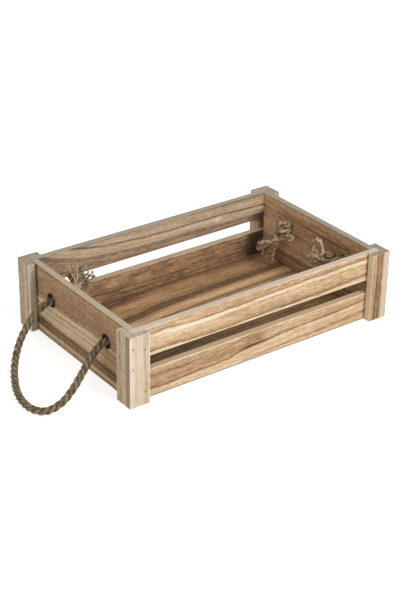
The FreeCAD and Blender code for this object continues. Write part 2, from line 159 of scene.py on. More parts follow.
def knot_line(knot, mouth):
    """The rope's line from the bore through its knot to the end of the laid part of its tail."""
    centre, stack, way = (Vector(v) for v in KNOTS[knot])
    stack.normalize()
    way.normalize()
    first = stack.orthogonal().normalized()
    second = stack.cross(first)
    turns = WRAP_TURNS * 2 * math.pi
    # The last turn ends where it already runs the tail's way.
    end = math.atan2(way.dot(second), way.dot(first)) - math.pi / 2

    def at(height, angle, radius):
        """A place this high up the stack and this far out from its middle, in mm."""
        return centre + MM * (height * stack + radius * (math.cos(angle) * first + math.sin(angle) * second))

    face = math.copysign(BORE_END, centre.x)
    points = [
        Vector((math.copysign(BORE_MIDDLE, centre.x), mouth.y, mouth.z + 1.5 * MM)),
        Vector((face, mouth.y, mouth.z + 3.5 * MM)),   # the loop's weight tips the rope up inside the bore
        Vector((face * 0.98, mouth.y + 0.3 * (centre.y - mouth.y), centre.z + 3 * MM)),
        # Up the core, and then down round it in even steps.
        at(-7, end - turns - 2.4, 3.5), at(2, end - turns - 1.6, 1.5), at(8.5, end - turns - 0.7, 2.5),
    ]
    for i in range(WRAP_STEPS + 1):
        points.append(at(7 - 13 * i / WRAP_STEPS, end - turns * (1 - i / WRAP_STEPS), WRAP_RADIUS))
    tail = points[-1]
    points += [tail + 5 * MM * way, tail + 10 * MM * way, tail + 13 * MM * way]
    return spline_line(points)


knot_lines = {
    "left_rear": knot_line("left_rear", left_line[0]),
    "left_front": knot_line("left_front", left_line[-1]),
    "right_front": knot_line("right_front", right_line[0]),
    "right_rear": knot_line("right_rear", right_line[-1]),
}
print({knot: round(length_of(line), 3) for knot, line in knot_lines.items()})

# %% [markdown]
# ## Three strands make a rope
# The rope is 8.2 mm thick on average, 9.5 mm over the crowns of its three strands, which make one full turn
# every 28 mm, a little over three diameters. They wind to the left, and each is pressed flat against the
# other two, so their middles lie nearer the rope's own line than round strands that only touch would. One
# could bump a plain tube instead, but the outline of a rope is scalloped, and real strands give that from
# every side. To wind them, the rope's line is walked in even steps, with two directions across it at each.

# %% Walk along a line
LAY_LENGTH = 28 * MM
STRAND_RADIUS, STRAND_OFFSET = 2.6 * MM, 2.15 * MM


def even_steps(line, step):
    """The same line, with its points one even step apart."""
    count = max(2, round(length_of(line) / step))
    spacing = length_of(line) / count
    places, walked = [line[0].copy()], 0.0
    for a, b in zip(line, line[1:]):
        run = (b - a).length
        while run and walked + run >= spacing * len(places) - 1e-9 and len(places) < count:
            places.append(a.lerp(b, (spacing * len(places) - walked) / run))
        walked += run
    return [*places, line[-1].copy()]


def across(line):
    """Two directions across the line at each point, which turn as little as they can along it."""
    last = len(line) - 1
    ways = [(line[min(i + 1, last)] - line[max(i - 1, 0)]).normalized() for i in range(last + 1)]
    side, frames = ways[0].orthogonal(), []
    for way in ways:
        side = (side - side.dot(way) * way).normalized()
        frames.append((side, way.cross(side)))
    return frames


print("over its crowns the rope is", round(2 * (STRAND_RADIUS + STRAND_OFFSET) / MM, 1), "mm thick")

# %% [markdown]
# ## How clean or shaded the fibre is
# The grooves between the rope's strands are darkened as painted shade, the shade that falls in them, and the
# crowns keep their colour. In the knots inside the crate the grooves get less of that painted shade and the
# fibre is paler, and where the rope has come apart it is palest. A painted picture could hold that, but
# a value on each point of the mesh does it with no picture, and the fibre's material reads it by its name.
# It grows with the point's distance from the rope's own line.

# %% Say how clean or shaded each place is
GROOVE_DEPTH, CLEAN_REACH = 2.9, 3.6   # mm from the rope's line to a groove, and from there to fresh fibre
INSIDE = 0.18   # how far along X the inside of the crate reaches


def shade_and_cleanness(place, depth):
    """0 in a groove between strands, which is full painted shade, 0.5 on their crowns, more inside the crate and
    where the rope is frayed.
    """
    share = (depth / MM - GROOVE_DEPTH) / CLEAN_REACH
    return min(1.0, max(0.3, share) + 0.2) if abs(place.x) < INSIDE else min(0.5, max(0.0, share))


for name, x, depth in (("groove", 0.25, 3), ("crown", 0.25, 4.75), ("knot", 0.17, 4.75), ("yarn", 0.16, 7)):
    print(name, round(shade_and_cleanness(Vector((x, 0, 0)), depth * MM), 2))

# %% [markdown]
# ## From lines to a mesh
# Each strand or yarn is a curve with a round bevel, and all those of one piece become one mesh. The curves'
# own map runs round each strand and along it, which is just what a pattern of yarns needs.

# %% Turn strands into a mesh
BEVEL, ROUND_FACES, CAP_FACES = 4, 12, 10   # a bevel of 4 makes 12 faces round a strand and 10 on each end


def strands_to_mesh(name, strands, middle):
    """One mesh from strands, each a list of points and one of radii. middle is the rope's own line."""
    curve = bpy.data.curves.new(name, "CURVE")
    curve.dimensions = "3D"
    curve.bevel_depth = 1
    curve.bevel_resolution = BEVEL
    curve.use_fill_caps = True
    for places, radii in strands:
        spline = curve.splines.new("POLY")
        spline.points.add(len(places) - 1)
        for point, place, radius in zip(spline.points, places, radii):
            point.co = (*place, 1)
            point.radius = radius
        spline.use_smooth = True
    holder = bpy.data.objects.new(name, curve)
    bpy.context.collection.objects.link(holder)
    mesh = bpy.data.meshes.new_from_object(holder)
    bpy.data.objects.remove(holder)
    # The map runs from 0 to 1 along each strand, whatever its length. Here it becomes metres. Across, each
    # strand starts from a whole number of its own and ends just short of the next, so that the fibre's
    # material can tell them apart.
    corners, start = mesh.uv_layers[0].data, 0
    for number, (places, _) in enumerate(strands):
        faces = (len(places) - 1) * ROUND_FACES + 2 * CAP_FACES
        for face in mesh.polygons[start:start + faces]:
            for corner in face.loop_indices:
                spot = corners[corner].uv
                spot.x, spot.y = number + 0.999 * spot.x, spot.y * length_of(places)
        start += faces
    nearest = KDTree(len(middle))
    for i, place in enumerate(middle):
        nearest.insert(place, i)
    nearest.balance()
    # the value is low in the grooves between strands, where it gives painted shade
    clean_or_shaded = [shade_and_cleanness(v.co, nearest.find(v.co)[2]) for v in mesh.vertices]
    mesh.attributes.new("shade_and_cleanness", "FLOAT", "POINT").data.foreach_set("value", clean_or_shaded)
    piece = bpy.data.objects.new(name, mesh)
    bpy.context.collection.objects.link(piece)
    print(name, len(mesh.polygons), "faces on", len(strands), "strands and yarns")
    return piece


# %% [markdown]
# ## Frayed tails
# Behind its knot the rope is cut and left to come apart. First the three strands open, then each falls into
# a few locks of yarn, which keep the crimp of the lay and stand out in curls. Each lock's line is a spline
# through a few places in mm, which start at the end of a strand. Its yarns wind round that line, spread
# towards the tip and get thinner there. They are thicker than real yarns, because they have to show. A fixed
# seed keeps them the same on every run.

# %% Where the locks of each tail run
TAIL_LOCKS = {
    "left_front": [
        [(-153, -46, 41), (-149, -44, 33), (-149, -42, 26)], [(-151, -51, 42), (-146, -52, 35), (-145, -55, 29)],
        [(-153, -54, 42), (-150, -61, 36), (-151, -64, 30)], [(-149, -46, 45), (-142, -43, 41), (-139, -42, 34)],
        [(-155, -48, 39), (-155, -46, 30), (-151, -49, 25)], [(-151, -56, 45), (-145, -62, 41), (-143, -64, 37)],
    ],
    "left_rear": [
        [(-152, 68, 75), (-153, 77, 82), (-153, 83, 88)], [(-150, 69, 77), (-150, 75, 85), (-148, 80, 91)],
        [(-148, 69, 76), (-147, 72, 85), (-145, 75, 92)], [(-146, 69, 74), (-144, 70, 84), (-141, 70, 93)],
        [(-145, 68, 73), (-142, 66, 83), (-141, 63, 92)], [(-145, 66, 71), (-141, 62, 78), (-139, 58, 86)],
        [(-145, 63, 71), (-140, 57, 78), (-138, 49, 89)], [(-144, 63, 69), (-139, 54, 77), (-136, 45, 85)],
        [(-144, 65, 65), (-140, 57, 70), (-137, 48, 76)], [(-146, 64, 65), (-143, 57, 66), (-140, 50, 68)],
        [(-149, 62, 67), (-147, 56, 65), (-145, 49, 64)], [(-149, 67, 76), (-149, 71, 83), (-151, 72, 88)],
        [(-146, 65, 73), (-144, 62, 80), (-144, 58, 85)], [(-146, 63, 68), (-143, 57, 73), (-142, 51, 76)],
        [(-153, 71, 68), (-152, 75, 72), (-152, 79, 80)], [(-154, 70, 66), (-153, 77, 70), (-153, 84, 76)],
    ],
    "right_front": [
        [
            (161, -42, 68), (161, -41, 75), (160, -39, 81), (160, -36, 84.5), (160, -30, 84), (160, -24.5, 80),
            (160, -22, 73.5), (160, -24.5, 68.5), (160, -30, 64), (159, -37, 60), (159, -43, 58),
        ],
        [
            (158, -37, 62), (157, -31, 60), (157, -23.5, 59.5), (157, -17.5, 55), (157, -16.5, 50),
            (158, -19.5, 46.5),
        ],
        [(161, -36, 57), (160, -30, 52), (160, -24, 48), (161, -19, 42)],
    ],
    "right_rear": [
        [(157, 48, 53), (155, 58, 46), (154, 71, 43), (153, 82, 37), (154, 87, 29), (156, 85, 21)],
        [(157, 52, 49), (155, 63, 42), (155, 73, 34), (155, 78, 26), (157, 77, 20)],
        [(156, 51, 51), (153, 62, 45), (152, 73, 41), (152, 79, 34), (153, 79, 27)],
        [(160, 49, 48), (159, 58, 37), (159, 67, 26), (160, 73, 17)],
        [(159, 50, 46), (157, 60, 35), (157, 69, 25)],
        [(161, 51, 46), (161, 57, 36), (162, 62, 26), (164, 66, 14)],
        [(162, 39, 57), (163, 35, 62), (164, 29, 66), (165, 26, 62.5), (164, 29, 57.5)],
    ],
}
LOCK_SIZE = {"left_front": 0.87, "left_rear": 0.87, "right_front": 1.2, "right_rear": 1.12}
LOCK_YARNS, LOCK_STEP = 4, 1.3 * MM
YARN_OFFSET, YARN_RADIUS, YARN_TAPER = 0.92, 1.17, 0.42   # in mm; the taper is what a tip's radius has lost
SPREAD_POWER = 1.8   # above 1, so that a lock opens late


def fray(line, size, rng):
    """The yarns of one lock, which wind round its line, spread towards its tip and get thinner."""
    steps, yarns = even_steps(line, LOCK_STEP), []
    for number in range(LOCK_YARNS):
        phase = 2 * math.pi * number / LOCK_YARNS
        spread, crimp = rng.uniform(0.3, 1.7), rng.uniform(11, 17) * MM
        places, radii = [], []
        for i, (place, (side, up)) in enumerate(zip(steps, across(steps))):
            share = i / (len(steps) - 1)
            angle = phase + 2 * math.pi * i * LOCK_STEP / crimp
            reach = (YARN_OFFSET + spread * share ** SPREAD_POWER) * size * MM
            places.append(place + reach * (math.cos(angle) * side + math.sin(angle) * up))
            radii.append((YARN_RADIUS - YARN_TAPER * share) * size * MM)
        yarns.append((places, radii))
    return yarns


print({knot: len(locks) for knot, locks in TAIL_LOCKS.items()}, "locks of", LOCK_YARNS, "yarns")

# %% [markdown]
# ## From knot to knot
# Now the whole rope of one end is wound in one go: tail, knot, bore, loop, bore, knot, tail. It is then cut
# where it leaves the end board, because the loop swings and the knots stay.

# %% Make both ropes
ROPE_STEP = 1.5 * MM
LOOP_STARTS = 0.1915   # how far along X the swinging piece begins, at the end board's face
KNOT_SLACK = 0.94   # how thick the rope is in a knot, which squeezes it, against 1 where it is free
SQUEEZE_ENDS, SQUEEZE_FADES = 0.178, 0.008   # how far along X that holds, and how soon it is free from there


def rope(side, route, knots):
    """The swinging loop of one end and its two knots, as three pieces cut from the same strands."""
    near, far = knots
    whole = even_steps([*reversed(knot_lines[near]), *route, *knot_lines[far]], ROPE_STEP)
    spacing = length_of(whole) / (len(whole) - 1)
    beyond = [i for i, place in enumerate(whole) if abs(place.x) > LOOP_STARTS]
    first, last = beyond[0], beyond[-1]
    wound, radii = [[], [], []], []
    for i, (place, (aside, up)) in enumerate(zip(whole, across(whole))):
        free = min(1.0, max(0.0, (abs(place.x) - SQUEEZE_ENDS) / SQUEEZE_FADES))
        slack = KNOT_SLACK + (1 - KNOT_SLACK) * free
        radii.append(slack * STRAND_RADIUS)
        for strand in range(3):
            angle = -2 * math.pi * (i * spacing / LAY_LENGTH + strand / 3)
            wound[strand].append(place + slack * STRAND_OFFSET * (math.cos(angle) * aside + math.sin(angle) * up))

    swinging = [(strand[first:last + 1], radii[first:last + 1]) for strand in wound]
    loop = strands_to_mesh(f"{side}_rope_handle", swinging, whole)
    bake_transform(loop)
    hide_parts(f"{side}_rope_loop")
    made = [loop]
    for knot, part in ((near, slice(0, first + 1)), (far, slice(last, None))):
        laid = [(strand[part], radii[part]) for strand in wound]
        rng = random.Random(knot)
        # A lock starts three steps before the end of a strand, runs through that end and goes its own way.
        ends = [(strand[3], strand[0]) if knot == near else (strand[-4], strand[-1]) for strand in wound]
        for number, lock in enumerate(TAIL_LOCKS[knot]):
            line = spline_line([*ends[number % 3], *(MM * Vector(place) for place in lock)])
            laid += fray(line, LOCK_SIZE[knot], rng)
        tied = strands_to_mesh(f"{knot}_knot_rope", laid, whole)
        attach(tied, "root")
        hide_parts(f"{knot}_knot")
        made.append(tied)
    return made


left_rope = rope("left", left_line, ("left_rear", "left_front"))
right_rope = rope("right", right_line, ("right_front", "right_rear"))

# %% [markdown]
# ## Colours and nodes
# Colours are written as they look on a screen, in sRGB, and shaders want them linear, so one function turns
# them. Another adds a node with its settings and links, which keeps each material short enough to read.
# Where it is given a node, it links the first of that node's outputs that is in use. Inputs go by their names
# or in their order, so a Map Range reads as a value, the two ends of its range, and what those become.

# %% Small tools for materials


def linear(colour):
    """An sRGB hex colour such as #c8a070 as linear RGBA."""
    parts = [int(colour[i:i + 2], 16) / 255 for i in (1, 3, 5)]
    return (*[p / 12.92 if p <= 0.04045 else ((p + 0.055) / 1.055) ** 2.4 for p in parts], 1)


def add(tree, kind, inputs=(), stops=(), **settings):
    """A node with its settings. Its inputs are values, sockets or other nodes. stops are places on its ramp,
    each with a linear colour."""
    node = tree.nodes.new("ShaderNode" + kind)
    for name, value in settings.items():
        setattr(node, name, value)
    for name, value in inputs.items() if isinstance(inputs, dict) else enumerate(inputs):
        if isinstance(value, bpy.types.Node):
            value = next(socket for socket in value.outputs if socket.enabled)
        if isinstance(value, bpy.types.NodeSocket):
            tree.links.new(value, node.inputs[name])
        else:
            node.inputs[name].default_value = value
    for i, (place, colour) in enumerate(stops):
        stop = node.color_ramp.elements[i] if i < 2 else node.color_ramp.elements.new(place)
        stop.position, stop.color = place, colour
    return node


def new_material(name):
    material = bpy.data.materials.new(name)
    material.use_nodes = True
    material.node_tree.nodes.clear()
    return material, material.node_tree


def dress(piece, material):
    """This material on the whole piece."""
    if piece.data.materials:
        for i in range(len(piece.data.materials)):
            piece.data.materials[i] = material
    else:
        piece.data.materials.append(material)


print("the palest wood in linear light is", [round(v, 3) for v in linear("#f8e8cc")])

# %% [markdown]
# ## Torched and brushed wood
# The boards are a light, fast-grown wood, scorched with a flame and brushed. That burns the soft early wood
# brown, leaves some growth rings as dark lines, and wears the corners pale. The sawn edges stay greyish.
# All of that lies on one scale, from 0 for pale to 1 for burnt, and a ramp turns it into colour. A board's
# look says how strong each pattern is on it. What it leaves out is as in the plain look here.

# %% One scale from pale to burnt, and a plain look
WOOD_IOR = 1.5
SCORCH = [
    (0.0, "#f8e8cc"), (0.18, "#e6c9a2"), (0.36, "#cba57a"), (0.52, "#a98058"),
    (0.68, "#7f5f3b"), (0.84, "#584026"), (1.0, "#332313"),
]
PLAIN_LOOK = dict(
    flow=((-200, 0), (200, 0)), patches=(), bores=(), streaks=0.5, mottle=0.25, fibres=0.7, lines=0.22,
    corners=0.16, grey=0.2, edge="#b5a78f", ends="#a0917c",
)
print("scorch scale of", len(SCORCH), "colours")

# %% [markdown]
# ## Where a point lies in its board
# A picture of grain would stretch on the edges. A solid pattern is better: it depends on the place in the
# wood alone, so a board's faces, edges and end grain agree. Each board therefore starts from how far along
# the grain, across it and through its thickness a point lies, in mm. Noise is drawn out along the grain.

# %% Lay out one board
ALONG, ACROSS, THROUGH = range(3)


def lay_out(name, box, look):
    """A board's look, with its new material and a point's place in it. box is the board's lowest and highest
    corner in metres."""
    board = SimpleNamespace(**(PLAIN_LOOK | look))
    board.material, board.tree = new_material(name)
    metres = add(board.tree, "TexCoord").outputs["Object"]
    board.place = add(board.tree, "VectorMath", {0: metres, "Scale": 1 / MM}, operation="SCALE")
    xyz = add(board.tree, "SeparateXYZ", [board.place]).outputs
    grain, thin = "xyz".index(board.grain), "xyz".index(board.thin)
    axes = (grain, 3 - grain - thin, thin)
    board.spot = [xyz[axis] for axis in axes]
    board.low, board.high = ([corner[axis] / MM for axis in axes] for corner in box)
    return board


def grain_noise(board, long, wide, detail, salt):
    """Noise in blobs this long along the grain and this wide across it, in mm, from about -0.5 to 0.5."""
    scale = [1 / wide] * 3
    scale["xyz".index(board.grain)] = 1 / long
    where = add(board.tree, "VectorMath", [board.place, scale], operation="MULTIPLY")
    blobs = add(board.tree, "TexNoise", {
        "Vector": where, "W": board.seed + salt, "Scale": 1, "Detail": detail, "Roughness": 0.6,
    }, noise_dimensions="4D")
    return add(board.tree, "Math", [blobs, 0.5], operation="SUBTRACT")


def inset(board, way):
    """How far inside the two faces that lie this way a point is, in mm."""
    middle, half = (board.low[way] + board.high[way]) / 2, (board.high[way] - board.low[way]) / 2
    off = add(board.tree, "Math", [board.spot[way], middle], operation="SUBTRACT")
    off = add(board.tree, "Math", [off], operation="ABSOLUTE")
    return add(board.tree, "Math", [half, off], operation="SUBTRACT")


def away_from(board, spot, half_sizes=(1, 1)):
    """How far a point is from this spot on the face, counted in these half sizes along and across it."""
    offset = add(board.tree, "CombineXYZ", [board.spot[ALONG], board.spot[ACROSS]])
    offset = add(board.tree, "VectorMath", [offset, (*spot, 0)], operation="SUBTRACT")
    offset = add(board.tree, "VectorMath", [offset, (*half_sizes, 1)], operation="DIVIDE")
    return add(board.tree, "VectorMath", [offset], operation="LENGTH")


# %% [markdown]
# ## Growth rings
# Growth rings are cylinders round the heart of a log, and a board cuts through them. How far a point is from
# the heart says which ring it lies in. The flow of the grain shifts it across the board as it runs along, as
# round a knot, and slow waves lie on top. Two things follow from the ring. One is how hard the flame took it,
# from the board's own table. The other is the late wood, a thin dark line in each of the fine rings between.

# %% Draw the rings that a board cuts
RING_WIDTH = 7   # mm
WAVE = 9   # mm that the slow waves shift the grain, from the one side to the other
LATE_WOOD = [(0, 0.4), (0.1, 0), (0.6, 0.1), (0.88, 1), (1, 0.4)]   # how dark it is at places in one ring


def straighten(board):
    """Where a point lies across the grain in mm, once the grain's flow and its slow waves are taken off."""
    start, end = board.flow[0][0], board.flow[-1][0]
    shifts = [shift for _, shift in board.flow]
    least, most = min(shifts), max(shifts) + 0.001
    share = add(board.tree, "Math", [board.spot[ALONG], start], operation="SUBTRACT")
    share = add(board.tree, "Math", [share, end - start], operation="DIVIDE")
    bent = add(board.tree, "FloatCurve", {"Value": share})
    curve = bent.mapping.curves[0]
    places = [((x - start) / (end - start), (shift - least) / (most - least)) for x, shift in board.flow]
    curve.points[0].location, curve.points[1].location = places[0], places[-1]
    for place in places[1:-1]:
        curve.points.new(*place)
    bent.mapping.update()
    shift = add(board.tree, "Math", [bent, most - least, least], operation="MULTIPLY_ADD")
    straight = add(board.tree, "Math", [board.spot[ACROSS], shift], operation="SUBTRACT")
    return add(board.tree, "Math", [grain_noise(board, 110, 45, 2, 1), WAVE, straight], operation="MULTIPLY_ADD")


def growth_rings(board):
    """How burnt a point is by the board's table of rings, and how much late wood it has, both from 0 to 1."""
    tree, heart = board.tree, board.heart
    aside = add(tree, "Math", [straighten(board), heart[0]], operation="SUBTRACT")
    below = add(tree, "Math", [board.spot[THROUGH], heart[1]], operation="SUBTRACT")
    radius = add(tree, "VectorMath", [add(tree, "CombineXYZ", [aside, below])], operation="LENGTH")
    rings = sorted((math.hypot(spot - heart[0], board.face - heart[1]), burnt) for spot, burnt in board.rings)
    inner, outer = rings[0][0], rings[-1][0]
    share = add(tree, "Math", [radius, inner], operation="SUBTRACT")
    share = add(tree, "Math", [share, outer - inner], operation="DIVIDE")
    table = [((ring - inner) / (outer - inner), (burnt, burnt, burnt, 1)) for ring, burnt in rings]
    scorch = add(tree, "ValToRGB", [share], stops=table)
    count = add(tree, "Math", [radius, RING_WIDTH], operation="DIVIDE")
    within = add(tree, "Math", [count], operation="FRACT")
    late = add(tree, "ValToRGB", [within], stops=[(spot, (dark, dark, dark, 1)) for spot, dark in LATE_WOOD])
    number = add(tree, "Math", [add(tree, "Math", [count], operation="FLOOR"), board.seed], operation="ADD")
    luck = add(tree, "TexWhiteNoise", {"W": number}, noise_dimensions="1D")   # some are stronger than others
    return scorch, add(tree, "Math", [late, luck], operation="MULTIPLY")


print("fine rings", RING_WIDTH, "mm wide")

# %% [markdown]
# ## The flame and the brush
# On the two wide faces the late wood, the streaks, the fibres and a broad mottle all add to how burnt a point
# is, each by as much as the board's look says. Patches are where the flame stayed longer or passed by: a
# knot, a stretch that was missed. Other dark patches are painted shade, where shade falls in the corners
# beside a batten or an end board, and painted shadow on the floor behind the front slats. Brushing wears
# the long corners pale, and where a board's strength for them is below 0 it darkens them as painted shade
# under the rim. In places the face has weathered, which takes the warmth out of its colour.

# %% Colour the wide faces


def scorched_face(board, scorch, late, fibre):
    """The colour of the faces that the flame took and the brush wore, with painted shade in some patches and
    corners.
    """
    tree, burn = board.tree, scorch
    for pattern, strength in (
        (late, board.lines), (grain_noise(board, 90, 4, 3, 3), board.streaks),
        (fibre, board.fibres), (grain_noise(board, 34, 11, 4, 4), board.mottle),
    ):
        burn = add(tree, "Math", [pattern, strength, burn], operation="MULTIPLY_ADD")
    # each patch adds burn, takes it off, or adds painted shade where shade falls in a corner
    for along, aside, half_long, half_wide, more in board.patches:
        away = away_from(board, (along, aside), (half_long, half_wide))
        burn_or_shade = add(tree, "MapRange", [away, 0.2, 1.2, more, 0], interpolation_type="SMOOTHSTEP")
        burn = add(tree, "Math", [burn, burn_or_shade], operation="ADD")
    # a corners strength below 0 darkens the long edges instead: painted shade under the rim
    near = add(tree, "Math", [fibre, 2.5, inset(board, ACROSS)], operation="MULTIPLY_ADD")
    corner_wear_and_shade = add(tree, "MapRange", [near, 0.9, 2.4, board.corners, 0])   # for the first 1 to 2 mm
    burn = add(tree, "Math", [burn, corner_wear_and_shade], operation="SUBTRACT")
    wood = add(tree, "ValToRGB", [burn], stops=[(place, linear(tone)) for place, tone in SCORCH])
    clouds = grain_noise(board, 70, 9, 3, 5)
    weathered = add(tree, "MapRange", [clouds, -0.2, 0.2, board.grey - 0.35, board.grey + 0.35])
    duller = add(tree, "HueSaturation", {"Color": wood, "Hue": 0.507, "Saturation": 0.72, "Value": 0.97})
    return add(tree, "Mix", {"Factor": weathered, "A": wood, "B": duller}, data_type="RGBA")


print("faces go from", SCORCH[0][1], "to", SCORCH[-1][1])

# %% [markdown]
# ## Edges, ends and bores
# The flame reached only a thin skin of the wide faces. What lies deeper shows on the sawn edges, which stay
# greyish. End grain drinks more of everything and looks darker and duller, most of all in its late wood. A
# bore is dark all through, and a little round its mouths: partly burnt wood, partly painted shade inside
# the hole.

# %% Colour what was cut
SKIN = 0.35   # mm below a face that still belong to that face
CUT_COVERS = 0.85   # how much of the face's colour a cut hides
BORE_RADIUS, CHAR_ENDS = 9.2, 10.2   # mm from a bore's middle
# the bore colour is partly char and partly painted shade inside the hole
BORE_CHAR_AND_SHADE, CHAR_COVERS = "#2a1a0c", 0.92


def with_cuts(board, colour, late, fibre):
    """This colour, with the board's sawn edges, its end grain and its bores laid over it."""
    tree = board.tree
    for tint, pattern, strength, way, test in (
        (board.edge, fibre, -0.5, THROUGH, "GREATER_THAN"), (board.ends, late, -0.35, ALONG, "LESS_THAN"),
    ):
        light = add(tree, "Math", [pattern, strength, 1], operation="MULTIPLY_ADD")
        bare = add(tree, "VectorMath", {0: linear(tint)[:3], "Scale": light}, operation="SCALE")
        cut = add(tree, "Math", [inset(board, way), SKIN], operation=test)
        cut = add(tree, "Math", [cut, CUT_COVERS], operation="MULTIPLY")
        colour = add(tree, "Mix", {"Factor": cut, "A": colour, "B": bare}, data_type="RGBA")
    # painted shade with char: each bore is darkened, with a thin ring round its mouth
    for spot in board.bores:
        charred_and_shaded = add(tree, "MapRange", [away_from(board, spot), BORE_RADIUS, CHAR_ENDS, CHAR_COVERS, 0])
        colour = add(tree, "Mix", {"Factor": charred_and_shaded, "A": colour, "B": linear(BORE_CHAR_AND_SHADE)}, data_type="RGBA")
    return colour


print("bores charred to", CHAR_ENDS, "mm from their middle")

# %% [markdown]
# ## The whole wood
# Brushing leaves the late wood standing and combs the fibres: a relief of a few tenths of a millimetre, which
# a bump gives. Real fibres are too fine to show, so these are 1.5 mm wide and 9 mm long. Bare wood is matt,
# and a little more so where it is combed out.

# %% Make wood for one board


def torched_wood(name, box, look):
    """Wood for one board. box is its lowest and highest corner in metres."""
    board = lay_out(name, box, look)
    tree = board.tree
    scorch, late = growth_rings(board)
    fibre = grain_noise(board, 9, 1.5, 3, 2)
    colour = with_cuts(board, scorched_face(board, scorch, late, fibre), late, fibre)
    relief = add(tree, "Math", [fibre, 1.2], operation="MULTIPLY")
    relief = add(tree, "Math", [late, 0.6, relief], operation="MULTIPLY_ADD")
    bump = add(tree, "Bump", {"Height": relief, "Strength": 0.6, "Distance": 0.4 * MM})
    rough = add(tree, "MapRange", [fibre, -0.3, 0.3, 0.7, 0.9])
    surface = add(tree, "BsdfPrincipled", {
        "Base Color": colour, "Roughness": rough, "IOR": WOOD_IOR, "Normal": bump,
    })
    add(tree, "OutputMaterial", {"Surface": surface})
    return board.material


print("wood with an IOR of", WOOD_IOR)
